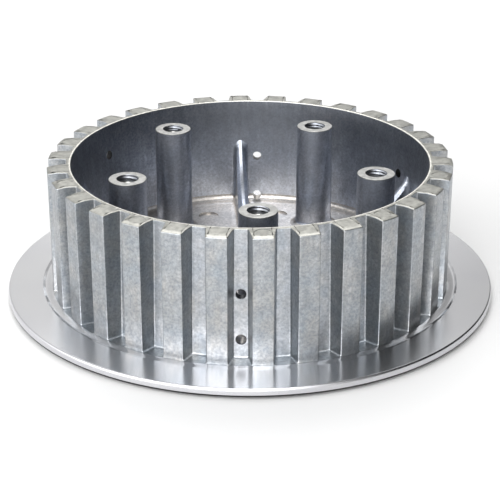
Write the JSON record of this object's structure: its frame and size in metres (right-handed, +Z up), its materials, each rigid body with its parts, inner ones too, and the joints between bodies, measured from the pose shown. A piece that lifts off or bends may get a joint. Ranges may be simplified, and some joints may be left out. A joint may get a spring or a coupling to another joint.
{
  "type": "clutch hub",
  "caption": "Cast aluminium inner hub of a multi-plate clutch: splined drum on a flat flange, spring posts and a splined steel centre bush.",
  "frame": {"origin": "on the shaft axis, in the plane of the flange's back face, which is the lowest face", "axes": "+Z up the shaft axis from the flange towards the open rim; -Y through the middle of post 1 and of a spline tooth; +X completes the right-handed frame"},
  "size_m": [0.1544, 0.1544, 0.0426],
  "materials": {
    "cast_aluminium": "die-cast and bead-blasted grey, with turned satin faces on the flange, the rim and the post tops",
    "bush_steel": "ground end faces, broached splines",
    "insert_steel": "bright stainless wire"
  },
  "bodies": {
    "root": {"hub_casting": "cast_aluminium", "spline_bush": "bush_steel", "thread_insert_1": "insert_steel", "thread_insert_2": "insert_steel", "thread_insert_3": "insert_steel", "thread_insert_4": "insert_steel", "thread_insert_5": "insert_steel"}
  },
  "joints": []
}
